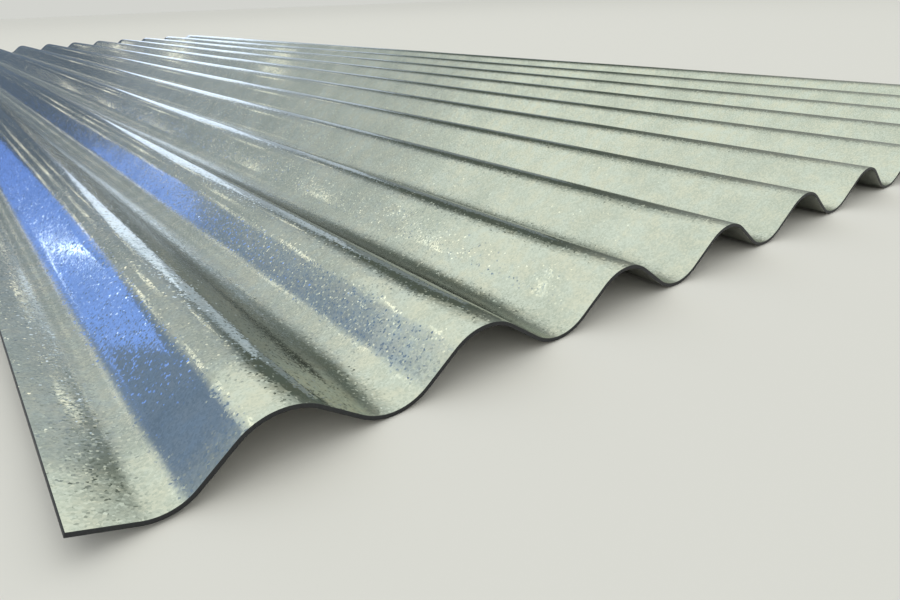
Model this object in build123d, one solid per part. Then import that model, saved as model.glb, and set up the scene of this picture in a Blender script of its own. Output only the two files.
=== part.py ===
from build123d import *
import math
import os

# Corrugated steel sheet, lying flat on its troughs, in millimetres and degrees.
# +X runs across the waves, +Y along them and +Z up.
# The origin is on the floor, under the middle of the sheet.

# Driving dimensions of the sheet
LENGTH = 2440.0  # along the waves: an eight foot sheet
THICKNESS = 1.5  # steel with its zinc
WAVES = 11  # crests across the sheet
PITCH = 76.2  # crest to crest: three inches
DEPTH = 18.0  # trough to crest, measured on one face
FLANK_FLAT = 15.5  # straight stretch between a crest's bend and a trough's

# The lip at each long side: the outermost trough is bent tighter and runs out
# less steeply than the waves, so it ends a little above the floor
LIP_BEND_RADIUS = 16.0  # to the middle of the thickness
LIP_ANGLE = 22.0  # rise of the lip from level
LIP_FLAT = 17.0  # straight stretch from the bend to the slit edge

# From a crest's top to the middle of a flank is a quarter of the pitch across and
# half of the depth down. The half flat beyond the bend is tangent to it, so the
# bend's radius follows from the power of that point, and its angle from the
# directions of the bend's centre.
QUARTER_PITCH = PITCH / 4
HALF_DEPTH = DEPTH / 2
HALF_FLAT = FLANK_FLAT / 2
BEND_RADIUS = (QUARTER_PITCH**2 + HALF_DEPTH**2 - HALF_FLAT**2) / (2 * HALF_DEPTH)
FLANK_ANGLE = math.degrees(
    math.atan2(BEND_RADIUS, HALF_FLAT) - math.atan2(BEND_RADIUS - HALF_DEPTH, QUARTER_PITCH)
)


def bends():
    """Each bend from left to right: its turn, upwards positive, its radius at the
    middle of the thickness, and the straight stretch that follows it."""
    lip_turn = LIP_ANGLE + FLANK_ANGLE
    trough = (2 * FLANK_ANGLE, BEND_RADIUS, FLANK_FLAT)
    crest = (-2 * FLANK_ANGLE, BEND_RADIUS, FLANK_FLAT)
    waves = [crest] + [trough, crest] * (WAVES - 1)
    return [(lip_turn, LIP_BEND_RADIUS, FLANK_FLAT)] + waves + [(lip_turn, LIP_BEND_RADIUS, LIP_FLAT)]


def face_line(start, side):
    """Edges along the upper face (side 1) or the lower face (side -1), from a corner
    of the left lip. Each face has the bends' centres but its own radii."""
    edges = [PolarLine(start, LIP_FLAT, -LIP_ANGLE)]
    for turn, radius, flat in bends():
        line = edges[-1]
        inwards = side * math.copysign(THICKNESS / 2, turn)
        bend = JernArc(line @ 1, line % 1, radius - inwards, turn)
        edges += [bend, Line(bend @ 1, bend @ 1 + (bend % 1) * flat)]
    return edges


def sheet_section():
    """The cut end's outline, centred across and standing on its lowest troughs."""
    slit_edge = PolarLine((0, 0), THICKNESS, -90 - LIP_ANGLE)
    upper = face_line(slit_edge @ 0, 1)
    lower = face_line(slit_edge @ 1, -1)
    far_slit_edge = Line(upper[-1] @ 1, lower[-1] @ 1)
    section = make_face(upper + lower + [slit_edge, far_slit_edge])
    box = section.bounding_box()
    return Pos(-box.center().X, -box.min.Y) * section


def corrugated_sheet():
    """The whole sheet, rolled as one piece and sheared to length."""
    return extrude(Plane.XZ * sheet_section(), amount=LENGTH / 2, both=True)


def main():
    os.makedirs("parts", exist_ok=True)
    sheet = corrugated_sheet()
    print(f"bend radius {BEND_RADIUS:.2f} mm, flank angle {FLANK_ANGLE:.2f} degrees")
    print(f"developed width {sheet.volume / LENGTH / THICKNESS:.1f} mm")
    export_step(sheet, "parts/corrugated_sheet.step")


main()
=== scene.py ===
import math

import bpy
import bmesh
from bpy.props import (
    FloatProperty,
    FloatVectorProperty,
    IntProperty,
    PointerProperty,
)
from mathutils import Matrix, Vector


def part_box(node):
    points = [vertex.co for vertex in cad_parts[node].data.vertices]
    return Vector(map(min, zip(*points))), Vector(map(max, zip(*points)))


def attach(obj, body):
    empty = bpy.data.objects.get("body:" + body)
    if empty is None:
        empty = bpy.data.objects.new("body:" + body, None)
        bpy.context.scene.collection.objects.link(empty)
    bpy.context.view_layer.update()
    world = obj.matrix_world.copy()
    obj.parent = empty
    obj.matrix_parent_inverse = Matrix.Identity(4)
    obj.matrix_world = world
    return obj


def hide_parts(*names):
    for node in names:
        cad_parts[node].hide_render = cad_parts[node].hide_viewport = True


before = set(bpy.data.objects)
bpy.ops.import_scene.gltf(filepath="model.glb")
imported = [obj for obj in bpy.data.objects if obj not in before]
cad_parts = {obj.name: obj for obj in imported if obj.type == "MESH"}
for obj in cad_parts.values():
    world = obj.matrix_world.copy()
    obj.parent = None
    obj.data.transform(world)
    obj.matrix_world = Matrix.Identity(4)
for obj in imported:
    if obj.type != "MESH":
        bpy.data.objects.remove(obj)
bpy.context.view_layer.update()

bl_info = {
    "name": "Corrugated Steel Sheet",
    "version": (1, 0, 0),
    "blender": (4, 5, 0),
    "location": "3D View > Sidebar > Sheet",
    "description": "A galvanised sheet rolled into waves, and a plain studio to show it in",
    "category": "Add Mesh",
}

NODE = "corrugated_sheet"
LOWEST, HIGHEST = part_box(NODE)
MM = 0.001

# Points closer than MERGED are merged, and an edge closer to a place than NEAR is at it
MERGED = 0.01 * MM
NEAR = 0.1 * MM

# Steps of a bend, and cuts across the length and across a flank's flat
BEND_STEPS = 16
LENGTH_CUTS = 60
FLAT_CUTS = 15

# A Mix node gives its colour sockets the names of its others, so they are found by number
FACTOR, FIRST, SECOND, MIXED = 0, 6, 7, 2

FLOOR_RADIUS = 12
ROOM_RADIUS = 60
ROOM_BRIGHTNESS = 1.15

# The camera stands low over the near corner and looks across the waves. Angles in degrees
CAMERA_LENS = 25.75
CAMERA_PLACE = (-0.43255, -1.36898, 0.12266)
CAMERA_TURN, CAMERA_TILT, CAMERA_ROLL = -37.11, 64.59, -2.15
CAMERA_NEAREST = 0.01


def linear(code):
    """The linear colour of an sRGB hex value such as #C9CCC4."""
    channels = [int(code[i : i + 2], 16) / 255 for i in (1, 3, 5)]
    return tuple(c / 12.92 if c <= 0.04045 else ((c + 0.055) / 1.055) ** 2.4 for c in channels)


class SheetSizes(bpy.types.PropertyGroup):
    length: FloatProperty(
        name="Length",
        description="Along the waves, between the two cut ends",
        default=HIGHEST.y - LOWEST.y,
        min=0.1,
        unit="LENGTH",
    )
    thickness: FloatProperty(
        name="Thickness",
        description="Of the steel with its zinc",
        default=1.5 * MM,
        min=0.0002,
        unit="LENGTH",
    )
    waves: IntProperty(
        name="Waves",
        description="Crests across the sheet, an odd number because one is in the middle",
        default=11,
        min=3,
    )
    pitch: FloatProperty(
        name="Pitch",
        description="From crest to crest",
        default=76.2 * MM,
        min=0.01,
        unit="LENGTH",
    )
    depth: FloatProperty(
        name="Depth",
        description="From trough to crest, on one face",
        default=18 * MM,
        min=0.001,
        unit="LENGTH",
    )
    flank_flat: FloatProperty(
        name="Flank Flat",
        description="Straight stretch between a crest's bend and a trough's",
        default=15.5 * MM,
        min=0.001,
        unit="LENGTH",
    )
    lip_bend: FloatProperty(
        name="Lip Bend",
        description="Radius of the outermost trough, to the middle of the thickness",
        default=16 * MM,
        min=0.001,
        unit="LENGTH",
    )
    lip_angle: FloatProperty(
        name="Lip Angle",
        description="Rise of the lip from level",
        default=math.radians(22),
        subtype="ANGLE",
    )
    lip_flat: FloatProperty(
        name="Lip Flat",
        description="Straight stretch from the lip's bend to the slit edge",
        default=17 * MM,
        min=0.001,
        unit="LENGTH",
    )
    edge_round: FloatProperty(
        name="Edge Round",
        description="Width of the worn corner along the cut edges",
        default=0.2 * MM,
        min=0.0,
        unit="LENGTH",
    )
    unevenness: FloatProperty(
        name="Unevenness",
        description="How far the sheet lies out of true",
        default=0.8 * MM,
        min=0.0,
        unit="LENGTH",
    )


class SheetFinish(bpy.types.PropertyGroup):
    zinc: FloatVectorProperty(
        name="Zinc",
        description="Colour of the galvanised faces",
        default=linear("#BABFB8"),
        min=0,
        max=1,
        subtype="COLOR",
    )
    warm_zinc: FloatVectorProperty(
        name="Warm Zinc",
        description="Colour of the patches with a yellower bloom",
        default=linear("#BEBEB2"),
        min=0,
        max=1,
        subtype="COLOR",
    )
    dull_zinc: FloatVectorProperty(
        name="Dull Zinc",
        description="Colour of the grains and clouds that have dulled",
        default=linear("#A5AAA2"),
        min=0,
        max=1,
        subtype="COLOR",
    )
    # Darker than bare steel: partly the steel's own colour, partly painted shade on the cut
    # edges
    cut_steel_with_painted_shade: FloatVectorProperty(
        name="Cut Steel",
        description="Colour of the sheared edges",
        default=linear("#343537"),
        min=0,
        max=1,
        subtype="COLOR",
    )
    grain: FloatProperty(
        name="Grain",
        description="Width of a zinc grain",
        default=0.8 * MM,
        min=0.0002,
        unit="LENGTH",
    )
    lean: FloatProperty(
        name="Lean",
        description="How far the most uneven grains lean out of the surface",
        default=math.radians(9),
        min=0.0,
        subtype="ANGLE",
    )


class StudioSettings(bpy.types.PropertyGroup):
    floor: FloatVectorProperty(
        name="Floor",
        description="Colour of the floor",
        default=linear("#DCD7D6"),
        min=0,
        max=1,
        subtype="COLOR",
    )
    background: FloatVectorProperty(
        name="Background",
        description="Colour of what the camera sees beyond the floor",
        default=linear("#D3D4CF"),
        min=0,
        max=1,
        subtype="COLOR",
    )
    room: FloatVectorProperty(
        name="Room",
        description="Colour of the soft light from overhead",
        default=linear("#F9FFF5"),
        min=0,
        max=1,
        subtype="COLOR",
    )
    wall: FloatVectorProperty(
        name="Wall",
        description="Colour of the dimmer light from lower down",
        default=linear("#B6C3D1"),
        min=0,
        max=1,
        subtype="COLOR",
    )
    far_wall: FloatVectorProperty(
        name="Far Wall",
        description="Colour of the dim light from beyond the sheet's far end",
        default=linear("#6B7A8B"),
        min=0,
        max=1,
        subtype="COLOR",
    )
    near_wall: FloatVectorProperty(
        name="Near Wall",
        description="Colour of the light from lower down beside and behind the camera",
        default=linear("#B4B7B3"),
        min=0,
        max=1,
        subtype="COLOR",
    )
    side_wall: FloatVectorProperty(
        name="Side Wall",
        description="Colour of the dark foot of the wall at the right",
        default=linear("#6C756D"),
        min=0,
        max=1,
        subtype="COLOR",
    )
    cool_side: FloatVectorProperty(
        name="Cool Side",
        description="Colour of the dimmer light from the left",
        default=linear("#8FA5C6"),
        min=0,
        max=1,
        subtype="COLOR",
    )
    left_lamp: FloatVectorProperty(
        name="Left Lamp",
        description="Colour of the wide soft lamp beyond the sheet at the left",
        default=linear("#6292FF"),
        min=0,
        max=1,
        subtype="COLOR",
    )
    right_lamp: FloatVectorProperty(
        name="Right Lamp",
        description="Colour of the windows beyond the sheet and of the narrow lamp at the left",
        default=linear("#DDEBFF"),
        min=0,
        max=1,
        subtype="COLOR",
    )
    small_lamps: FloatVectorProperty(
        name="Small Lamps",
        description="Colour of the rows of small lamps under the ceiling",
        default=linear("#FFF8DE"),
        min=0,
        max=1,
        subtype="COLOR",
    )


def add_node(tree, kind, inputs=None, **settings):
    """Adds a shader node with its settings. An input is given a value or another
    node's output, by the input's name or number."""
    node = tree.nodes.new(kind)
    for name, value in settings.items():
        setattr(node, name, value)
    for name, value in (inputs or {}).items():
        if isinstance(value, bpy.types.NodeSocket):
            tree.links.new(value, node.inputs[name])
        else:
            node.inputs[name].default_value = value
    return node


def new_material(name):
    """An empty node material, and its tree."""
    material = bpy.data.materials.new(name)
    material.use_nodes = True
    tree = material.node_tree
    tree.nodes.clear()
    return material, tree


def galvanised_zinc(finish):
    """Hot-dip galvanised steel with a fine spangle. Half of its grains lie level, so the
    metal mirrors the room softly, and the rest lean out of it, so that they sparkle where
    the mirrored light changes. Clouds of it have dulled."""
    material, tree = new_material("hot_dip_galvanised_zinc")
    place = add_node(tree, "ShaderNodeTexCoord").outputs["Object"]
    in_mm = add_node(
        tree,
        "ShaderNodeVectorMath",
        {"Vector": place, "Scale": 1 / MM},
        operation="SCALE",
    )
    spot = in_mm.outputs["Vector"]

    # Sizes of its patterns in millimetres. A streak's are across, along and upwards
    peel_width, cloud_width, patch_width = 9, 45, 9
    streak_size = (2.5, 260, 2.5)

    # Each grain of the spangle is one flat face with a lean of its own
    grains = add_node(
        tree,
        "ShaderNodeTexVoronoi",
        {"Vector": spot, "Scale": MM / finish.grain},
    )
    turned = add_node(
        tree,
        "ShaderNodeVectorMath",
        {0: grains.outputs["Color"], 1: (0.5, 0.5, 0.5)},
        operation="SUBTRACT",
    )
    # By chance, half of them lie level and the rest lean up to the full angle. The colour
    # less its middle is at most a half, hence twice the tangent
    chance = add_node(
        tree,
        "ShaderNodeTexWhiteNoise",
        {"Vector": grains.outputs["Position"]},
    )
    out_of_level = add_node(
        tree,
        "ShaderNodeMapRange",
        {"Value": chance.outputs["Value"], "From Min": 0.5},
    )
    how_far = add_node(
        tree,
        "ShaderNodeMath",
        {0: out_of_level.outputs["Result"], 1: 2 * math.tan(finish.lean)},
        operation="MULTIPLY",
    )
    lean = add_node(
        tree,
        "ShaderNodeVectorMath",
        {"Vector": turned.outputs["Vector"], "Scale": how_far.outputs["Value"]},
        operation="SCALE",
    )
    # The rolls flatten it more along the waves than across them
    rolled = add_node(
        tree,
        "ShaderNodeVectorMath",
        {0: lean.outputs["Vector"], 1: (1, 0.6, 1)},
        operation="MULTIPLY",
    )

    # Orange peel about a centimetre wide that the molten zinc left: a fraction of a degree
    peel = add_node(
        tree,
        "ShaderNodeTexNoise",
        {"Vector": spot, "Scale": 1 / peel_width, "Detail": 2.0, "Roughness": 0.5},
    )
    peel_bump = add_node(
        tree,
        "ShaderNodeBump",
        {"Height": peel.outputs["Fac"], "Distance": 0.015 * MM, "Strength": 1.0},
    )
    leaning = add_node(
        tree,
        "ShaderNodeVectorMath",
        {0: peel_bump.outputs["Normal"], 1: rolled.outputs["Vector"]},
        operation="ADD",
    )
    normal = add_node(
        tree,
        "ShaderNodeVectorMath",
        {"Vector": leaning.outputs["Vector"]},
        operation="NORMALIZE",
    )

    # Clouds a few centimetres long, and patches of a few grains, some warmer
    clouds = add_node(
        tree,
        "ShaderNodeTexNoise",
        {"Vector": spot, "Scale": 1 / cloud_width, "Detail": 4.0, "Roughness": 0.6},
    )
    patches = add_node(
        tree,
        "ShaderNodeTexNoise",
        {"Vector": spot, "Scale": 1 / patch_width, "Detail": 4.0, "Roughness": 0.65},
    )
    tint = add_node(
        tree,
        "ShaderNodeMapRange",
        {"Value": patches.outputs["Fac"], "From Min": 0.4, "From Max": 0.6},
    )
    bright_zinc = add_node(
        tree,
        "ShaderNodeMix",
        {
            FACTOR: tint.outputs["Result"],
            FIRST: (*finish.zinc, 1),
            SECOND: (*finish.warm_zinc, 1),
        },
        data_type="RGBA",
    )
    cell = add_node(tree, "ShaderNodeSeparateColor", {"Color": grains.outputs["Color"]})
    shade = add_node(
        tree,
        "ShaderNodeMath",
        {0: cell.outputs["Red"], 1: 0.35, 2: clouds.outputs["Fac"]},
        operation="MULTIPLY_ADD",
    )
    dullness = add_node(
        tree,
        "ShaderNodeMapRange",
        {"Value": shade.outputs["Value"], "From Min": 0.5, "From Max": 0.92},
    )
    colour = add_node(
        tree,
        "ShaderNodeMix",
        {
            FACTOR: dullness.outputs["Result"],
            FIRST: bright_zinc.outputs[MIXED],
            SECOND: (*finish.dull_zinc, 1),
        },
        data_type="RGBA",
    )

    # Streaks that the rolls leave along the waves
    stretched = add_node(
        tree,
        "ShaderNodeMapping",
        {"Vector": spot, "Scale": tuple(1 / size for size in streak_size)},
    )
    streaks = add_node(
        tree,
        "ShaderNodeTexNoise",
        {"Vector": stretched.outputs["Vector"], "Scale": 1.0, "Detail": 2.0},
    )
    rough = add_node(
        tree,
        "ShaderNodeMath",
        {0: streaks.outputs["Fac"], 1: 0.08, 2: dullness.outputs["Result"]},
        operation="MULTIPLY_ADD",
    )
    roughness = add_node(
        tree,
        "ShaderNodeMapRange",
        {"Value": rough.outputs["Value"], "From Max": 1.08, "To Min": 0.05, "To Max": 0.14},
    )
    # The rolls rub the crests, so the troughs are duller, up to 3 to 6 mm from the floor
    height = add_node(tree, "ShaderNodeSeparateXYZ", {"Vector": spot})
    trough = add_node(
        tree,
        "ShaderNodeMapRange",
        {
            "Value": height.outputs["Z"],
            "From Min": 3,
            "From Max": 6,
            "To Min": 0.12,
            "To Max": 0,
        },
    )
    total = add_node(
        tree,
        "ShaderNodeMath",
        {0: roughness.outputs["Result"], 1: trough.outputs["Result"]},
        operation="ADD",
    )
    # Dulled zinc mirrors no more at a glance than from above, which its edge tint gives
    shader = add_node(
        tree,
        "ShaderNodeBsdfPrincipled",
        {
            "Base Color": colour.outputs[MIXED],
            "Metallic": 1.0,
            "Roughness": total.outputs["Value"],
            "Specular Tint": (0.7, 0.7, 0.7, 1),
            "Normal": normal.outputs["Vector"],
        },
    )
    add_node(tree, "ShaderNodeOutputMaterial", {"Surface": shader.outputs["BSDF"]})
    return material


def sheared_steel(finish):
    """Bare steel where the sheet was sheared, matt, with fine upright scratches from the blade.
    Its dark colour is partly the bare steel's own and partly painted shade for the shadowed
    cut edges."""
    material, tree = new_material("sheared_steel_edge_with_painted_shade")
    place = add_node(tree, "ShaderNodeTexCoord").outputs["Object"]
    in_mm = add_node(
        tree,
        "ShaderNodeVectorMath",
        {"Vector": place, "Scale": 1 / MM},
        operation="SCALE",
    )
    # The scratches are half a millimetre apart, coarser than a real blade leaves
    upright = add_node(
        tree,
        "ShaderNodeMapping",
        {"Vector": in_mm.outputs["Vector"], "Scale": (2.0, 0.5, 0.25)},
    )
    scratches = add_node(
        tree,
        "ShaderNodeTexNoise",
        {"Vector": upright.outputs["Vector"], "Scale": 1.0, "Detail": 3.0, "Roughness": 0.7},
    )
    # The blade leaves the steel between them about twice as bright
    # Both steels carry the painted shade of the cut edges
    light_steel = tuple(2.2 * c for c in finish.cut_steel_with_painted_shade)
    colour = add_node(
        tree,
        "ShaderNodeMix",
        {
            FACTOR: scratches.outputs["Fac"],
            FIRST: (*finish.cut_steel_with_painted_shade, 1),
            SECOND: (*light_steel, 1),
        },
        data_type="RGBA",
    )
    roughness = add_node(
        tree,
        "ShaderNodeMapRange",
        {"Value": scratches.outputs["Fac"], "To Min": 0.35, "To Max": 0.6},
    )
    bump = add_node(
        tree,
        "ShaderNodeBump",
        {"Height": scratches.outputs["Fac"], "Distance": 0.05 * MM, "Strength": 1.0},
    )
    shader = add_node(
        tree,
        "ShaderNodeBsdfPrincipled",
        {
            "Base Color": colour.outputs[MIXED],
            "Metallic": 1.0,
            "Roughness": roughness.outputs["Result"],
            "Normal": bump.outputs["Normal"],
        },
    )
    add_node(tree, "ShaderNodeOutputMaterial", {"Surface": shader.outputs["BSDF"]})
    return material


def select_edges(piece, chosen):
    """In edit mode, selects just the edges chosen by their middle and their direction."""
    mesh = bmesh.from_edit_mesh(piece.data)
    for part in (*mesh.faces, *mesh.edges, *mesh.verts):
        part.select = False
    for edge in mesh.edges:
        a, b = (v.co for v in edge.verts)
        if chosen((a + b) / 2, a - b):
            edge.select = True
    mesh.select_flush_mode()
    bmesh.update_edit_mesh(piece.data)


def bend(at, heading, turn, radius):
    """Rolls the sheet on from its selected edge, upwards where turn is positive.
    Returns the place and heading where the bend ends."""
    side = math.copysign(radius, turn)
    centre = at + side * Vector((-math.sin(heading), 0, math.cos(heading)))
    bpy.ops.mesh.spin(steps=BEND_STEPS, angle=turn, center=centre, axis=(0, 1, 0))
    heading += turn
    return centre - side * Vector((-math.sin(heading), 0, math.cos(heading))), heading


def run_on(at, heading, length):
    """Draws the selected edge on in a straight line and returns where it ends."""
    step = length * Vector((math.cos(heading), 0, math.sin(heading)))
    bpy.ops.mesh.extrude_region_move(TRANSFORM_OT_translate={"value": step})
    return at + step


class MESH_OT_corrugated_sheet(bpy.types.Operator):
    """Roll the corrugated sheet and give it its zinc and its cut edges"""

    bl_idname = "mesh.corrugated_sheet_add"
    bl_label = "Corrugated Sheet"
    bl_options = {"REGISTER", "UNDO"}

    def execute(self, context):
        sizes = context.scene.sheet_sizes
        finish = context.scene.sheet_finish
        # The bend radius and the flank's angle with which the bends and flats of one wave
        # come to its pitch and depth
        quarter, half_depth, half_flat = sizes.pitch / 4, sizes.depth / 2, sizes.flank_flat / 2
        radius = (quarter**2 + half_depth**2 - half_flat**2) / (2 * half_depth)
        flank = math.atan2(radius, half_flat) - math.atan2(radius - half_depth, quarter)
        crest_top = sizes.depth + sizes.thickness / 2
        waves_beside = sizes.waves // 2

        # The first flank runs down from the middle crest
        drop = radius * (1 - math.cos(flank))
        shoulder = Vector((radius * math.sin(flank), 0, crest_top - drop))
        down = Vector((math.cos(flank), 0, -math.sin(flank)))
        bpy.ops.object.select_all(action="DESELECT")
        middle = shoulder + down * half_flat
        bpy.ops.mesh.primitive_plane_add(size=sizes.length, location=middle)
        sheet = context.active_object
        sheet.name = "sheet"
        bpy.ops.object.mode_set(mode="EDIT")
        bpy.ops.transform.resize(
            value=(sizes.flank_flat / sizes.length, 1, 1),
            center_override=middle,
        )
        bpy.ops.object.mode_set(mode="OBJECT")
        sheet.rotation_euler.y = flank
        bpy.ops.object.transform_apply(location=True, rotation=True, scale=True)
        bpy.ops.object.mode_set(mode="EDIT")
        # Two opposite edges at a time, which only edge mode selects without their face
        bpy.ops.mesh.select_mode(type="EDGE")
        select_edges(sheet, lambda place, along: abs(along.y) < sizes.length / 2)
        bpy.ops.mesh.subdivide(number_cuts=FLAT_CUTS)
        select_edges(sheet, lambda place, along: abs(along.y) > sizes.length / 2)
        bpy.ops.mesh.subdivide(number_cuts=LENGTH_CUTS)
        bpy.ops.mesh.select_mode(type="VERT")

        # One wave on from there: trough, flank and crest
        end = shoulder + down * sizes.flank_flat
        select_edges(sheet, lambda place, along: place.x > end.x - NEAR)
        at, heading = bend(end, -flank, 2 * flank, radius)
        at = run_on(at, heading, sizes.flank_flat)
        at, heading = bend(at, heading, -2 * flank, radius)
        bpy.ops.object.mode_set(mode="OBJECT")

        # The same wave again up to the outermost crest
        rows = sheet.modifiers.new("waves", "ARRAY")
        rows.count = waves_beside
        rows.use_relative_offset = False
        rows.use_constant_offset = True
        rows.constant_offset_displace = (sizes.pitch, 0, 0)
        rows.use_merge_vertices = True
        rows.merge_threshold = MERGED
        bpy.ops.object.modifier_apply(modifier=rows.name)

        # The last flank and the lip at one side, and half of the middle crest
        bpy.ops.object.mode_set(mode="EDIT")
        at = shoulder + Vector((sizes.pitch * waves_beside, 0, 0))
        select_edges(sheet, lambda place, along: place.x > at.x - NEAR)
        at = run_on(at, -flank, sizes.flank_flat)
        at, heading = bend(at, -flank, flank + sizes.lip_angle, sizes.lip_bend)
        run_on(at, heading, sizes.lip_flat)
        select_edges(sheet, lambda place, along: place.x < shoulder.x + NEAR)
        bpy.ops.mesh.spin(
            steps=BEND_STEPS // 2,
            angle=flank,
            center=(0, 0, crest_top - radius),
            axis=(0, 1, 0),
        )
        bpy.ops.object.mode_set(mode="OBJECT")

        # The other half is its mirror image
        half = sheet.modifiers.new("other_half", "MIRROR")
        half.merge_threshold = MERGED
        bpy.ops.object.modifier_apply(modifier=half.name)
        bpy.ops.object.mode_set(mode="EDIT")
        bpy.ops.mesh.select_all(action="SELECT")
        bpy.ops.mesh.remove_doubles(threshold=MERGED)
        bpy.ops.mesh.normals_make_consistent(inside=False)
        bpy.ops.object.mode_set(mode="OBJECT")
        if sum(face.normal.z for face in sheet.data.polygons) < 0:
            sheet.data.flip_normals()

        # No rolled sheet is quite straight: it rises a little here and there, about every
        # 0.35 m. The level that moves nothing is low, so that no trough sinks into the floor
        swell = bpy.data.textures.new("swell", "CLOUDS")
        swell.noise_scale = 0.35
        swell.noise_depth = 1
        uneven = sheet.modifiers.new("uneven", "DISPLACE")
        uneven.texture = swell
        uneven.direction = "Z"
        uneven.mid_level = 0.2
        uneven.strength = sizes.unevenness
        bpy.ops.object.modifier_apply(modifier=uneven.name)

        sheet.data.materials.append(galvanised_zinc(finish))
        sheet.data.materials.append(sheared_steel(finish))
        wall = sheet.modifiers.new("wall", "SOLIDIFY")
        wall.thickness = sizes.thickness
        wall.offset = 0
        wall.use_even_offset = True
        wall.material_offset_rim = 1
        bpy.ops.object.modifier_apply(modifier=wall.name)
        corners = sheet.modifiers.new("cut_corners", "BEVEL")
        corners.width = sizes.edge_round
        corners.segments = 2
        corners.limit_method = "ANGLE"
        corners.angle_limit = math.radians(50)
        corners.material = 1
        bpy.ops.object.modifier_apply(modifier=corners.name)
        bpy.ops.object.shade_smooth_by_angle(angle=math.radians(35))

        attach(sheet, "root")
        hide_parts(NODE)
        return {"FINISHED"}


def soft_lamp(name, at, look_at, width, height, brightness, colour):
    """A rectangular soft lamp, which the camera doesn't see. Brightness 1 looks like a
    white surface in plain light."""
    bpy.ops.object.light_add(type="AREA", location=at)
    lamp = bpy.context.active_object
    lamp.name = name
    aim = (Vector(look_at) - Vector(at)).to_track_quat("-Z", "Y")
    lamp.rotation_euler = aim.to_euler()
    lamp.data.shape = "RECTANGLE"
    lamp.data.size, lamp.data.size_y = width, height
    lamp.data.energy = brightness * math.pi * width * height
    lamp.data.color = colour
    lamp.visible_camera = False
    return lamp


def fade(tree, value, start, end, before, after):
    """One colour where the value is at start or before, and another past end."""
    share = add_node(
        tree,
        "ShaderNodeMapRange",
        {"Value": value, "From Min": start, "From Max": end},
    )
    inputs = {FACTOR: share.outputs["Result"], FIRST: before, SECOND: after}
    return add_node(tree, "ShaderNodeMix", inputs, data_type="RGBA").outputs[MIXED]


def sine(degrees):
    """How far a direction reaches along an axis when it rises so many degrees toward it."""
    return math.sin(math.radians(degrees))


def room_light(studio):
    """The room's soft light, which the waves mirror: pale overhead and dimmer lower down,
    dimmest beyond the far end and at the right, and cool at the left."""
    material, tree = new_material("soft_room_light")
    place = add_node(tree, "ShaderNodeTexCoord").outputs["Object"]
    towards = add_node(tree, "ShaderNodeVectorMath", {0: place}, operation="NORMALIZE")
    split = add_node(tree, "ShaderNodeSeparateXYZ", {"Vector": towards.outputs["Vector"]})
    axes = split.outputs
    # The angle from straight up toward the right, as seen along the waves
    across = add_node(
        tree,
        "ShaderNodeMath",
        {0: axes["X"], 1: axes["Z"]},
        operation="ARCTAN2",
    )
    room, wall, far_wall, near_wall, side_wall, cool_side = (
        (*colour, 1)
        for colour in (
            studio.room,
            studio.wall,
            studio.far_wall,
            studio.near_wall,
            studio.side_wall,
            studio.cool_side,
        )
    )
    # Ahead the wall brightens into the ceiling, and at the right it does so higher up
    ahead = fade(tree, axes["Z"], sine(14), sine(45), wall, room)
    right = fade(tree, axes["Z"], sine(30), sine(60), side_wall, room)
    ahead = fade(tree, axes["X"], sine(15), sine(28), ahead, right)
    # The left is cool, and just over the far end there is a dim strip
    left_edge, left_end = math.radians(-38), math.radians(-22)
    ahead = fade(tree, across.outputs["Value"], left_edge, left_end, cool_side, ahead)
    far = fade(tree, axes["Z"], sine(11), sine(15), far_wall, ahead)
    ahead = fade(tree, axes["Y"], sine(73), sine(80), ahead, far)
    # Beside the camera and behind it there is one wall all round
    behind = fade(tree, axes["Z"], sine(10), sine(60), near_wall, room)
    around = fade(tree, axes["Y"], sine(15), sine(38), behind, ahead)
    light = add_node(
        tree,
        "ShaderNodeEmission",
        {"Color": around, "Strength": ROOM_BRIGHTNESS},
    )
    add_node(tree, "ShaderNodeOutputMaterial", {"Surface": light.outputs["Emission"]})
    return material


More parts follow.
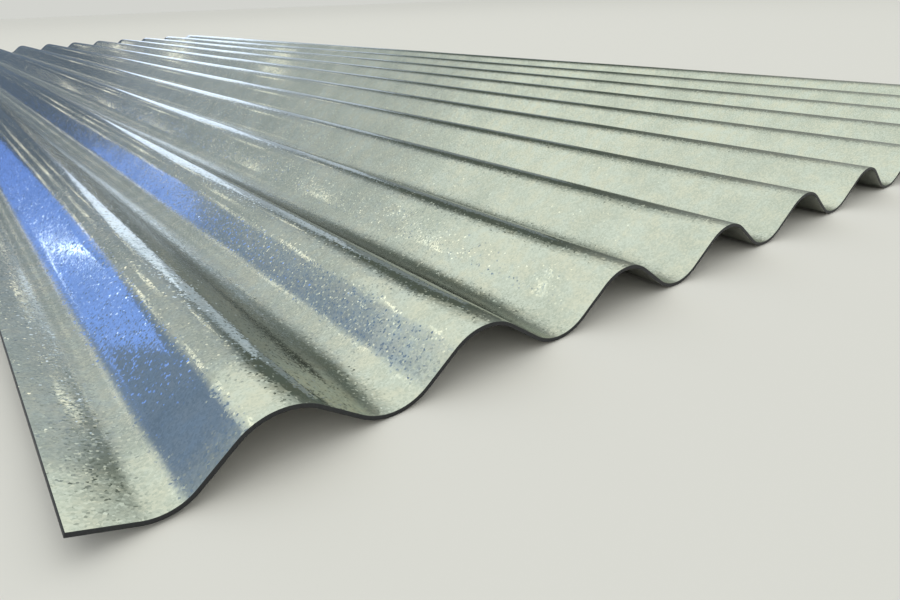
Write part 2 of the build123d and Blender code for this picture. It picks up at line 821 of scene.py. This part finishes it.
class SCENE_OT_sheet_studio(bpy.types.Operator):
    """Lay the pale floor, hang the soft lamps and set the camera"""

    bl_idname = "scene.sheet_studio_add"
    bl_label = "Studio"
    bl_options = {"REGISTER", "UNDO"}

    def execute(self, context):
        studio = context.scene.sheet_studio
        bpy.ops.object.select_all(action="DESELECT")
        bpy.ops.mesh.primitive_circle_add(vertices=128, radius=FLOOR_RADIUS, fill_type="NGON")
        floor = context.active_object
        floor.name = "floor"
        # Matt paint without gloss, so that no lamp shows in the floor
        material, tree = new_material("pale_floor")
        shader = add_node(
            tree,
            "ShaderNodeBsdfPrincipled",
            {"Base Color": (*studio.floor, 1), "Roughness": 0.8, "Specular IOR Level": 0.0},
        )
        add_node(tree, "ShaderNodeOutputMaterial", {"Surface": shader.outputs["BSDF"]})
        floor.data.materials.append(material)

        # The room is a dome that only the waves and the floor see
        bpy.ops.mesh.primitive_ico_sphere_add(subdivisions=4, radius=ROOM_RADIUS)
        room = context.active_object
        room.name = "room"
        room.visible_camera = False
        room.data.materials.append(room_light(studio))
        world = bpy.data.worlds.new("background")
        world.use_nodes = True
        tree = world.node_tree
        tree.nodes.clear()
        plain = add_node(tree, "ShaderNodeBackground", {"Color": (*studio.background, 1)})
        add_node(tree, "ShaderNodeOutputWorld", {"Surface": plain.outputs["Background"]})
        context.scene.world = world

        # All but the ceiling's lamp shine on the corner nearest to the camera
        near_corner = (-0.3, -1.0, 0)
        soft_lamp("ceiling", (0.5, 0.3, 3.2), (0.5, 0.3, 0), 6.0, 6.0, 0.23, studio.room)
        low_lamps = [
            soft_lamp(name, at, near_corner, width, height, brightness, colour)
            for name, at, width, height, brightness, colour in (
                ("left_soft", (-2.3, 6.35, 1.5), 2.2, 2.0, 1.25, studio.left_lamp),
                ("left_narrow", (-2.25, 6.1, 1.25), 0.09, 0.9, 5.0, studio.right_lamp),
                ("right_window", (1.2, 4.0, 0.64), 0.9, 1.24, 1.7, studio.right_lamp),
                ("right_blind", (2.2, 3.8, 0.72), 1.1, 1.4, 0.65, studio.right_lamp),
                ("right_low", (3.5, 3.7, 0.75), 2.6, 1.4, 0.3, studio.right_lamp),
            )
        ]
        # They light the sheet, and not the floor that they stand on
        unlit = bpy.data.collections.new("not_lit_by_low_lamps")
        unlit.objects.link(floor)
        unlit.collection_objects[0].light_linking.link_state = "EXCLUDE"
        for lamp in low_lamps:
            lamp.light_linking.receiver_collection = unlit
        # Rows of small lamps down the ceiling, brighter the farther they are. The first
        # rows have one lamp each, at the left
        left, middle, right = -2.6, 0.8, 4.6
        first_row, row_gap, ceiling_height = 2.6, 3.6, 6
        width, height = 1.2, 0.4
        for row in (0, 1, 2, 3, 5, 7, 9):
            places = (left, middle, right) if row > 2 else (left,)
            for column, across in enumerate(places):
                name = f"small_{row + 1}_{column + 1}"
                at = (across, first_row + row_gap * row, ceiling_height)
                brightness = 0.6 + 0.3 * row
                soft_lamp(name, at, near_corner, width, height, brightness, studio.small_lamps)

        bpy.ops.object.camera_add()
        camera = context.active_object
        camera.data.lens = CAMERA_LENS
        camera.matrix_world = (
            Matrix.Translation(CAMERA_PLACE)
            @ Matrix.Rotation(math.radians(CAMERA_TURN), 4, "Z")
            @ Matrix.Rotation(math.radians(CAMERA_TILT), 4, "X")
            @ Matrix.Rotation(math.radians(CAMERA_ROLL), 4, "Z")
        )
        camera.data.clip_start = CAMERA_NEAREST
        context.scene.camera = camera
        context.scene.view_settings.view_transform = "Standard"
        return {"FINISHED"}


class VIEW3D_PT_corrugated_sheet(bpy.types.Panel):
    bl_label = "Corrugated Sheet"
    bl_idname = "VIEW3D_PT_corrugated_sheet"
    bl_space_type = "VIEW_3D"
    bl_region_type = "UI"
    bl_category = "Sheet"

    def draw(self, context):
        scene = context.scene
        for group, operator in (
            (scene.sheet_sizes, None),
            (scene.sheet_finish, MESH_OT_corrugated_sheet.bl_idname),
            (scene.sheet_studio, SCENE_OT_sheet_studio.bl_idname),
        ):
            box = self.layout.box()
            for name in group.__annotations__:
                box.prop(group, name)
            if operator:
                box.operator(operator)


CLASSES = (
    SheetSizes,
    SheetFinish,
    StudioSettings,
    MESH_OT_corrugated_sheet,
    SCENE_OT_sheet_studio,
    VIEW3D_PT_corrugated_sheet,
)


def register():
    for cls in CLASSES:
        bpy.utils.register_class(cls)
    bpy.types.Scene.sheet_sizes = PointerProperty(type=SheetSizes)
    bpy.types.Scene.sheet_finish = PointerProperty(type=SheetFinish)
    bpy.types.Scene.sheet_studio = PointerProperty(type=StudioSettings)


def unregister():
    del bpy.types.Scene.sheet_studio
    del bpy.types.Scene.sheet_finish
    del bpy.types.Scene.sheet_sizes
    for cls in reversed(CLASSES):
        bpy.utils.unregister_class(cls)


def main():
    register()
    bpy.ops.mesh.corrugated_sheet_add()
    bpy.ops.scene.sheet_studio_add()


if __name__ == "__main__":
    main()
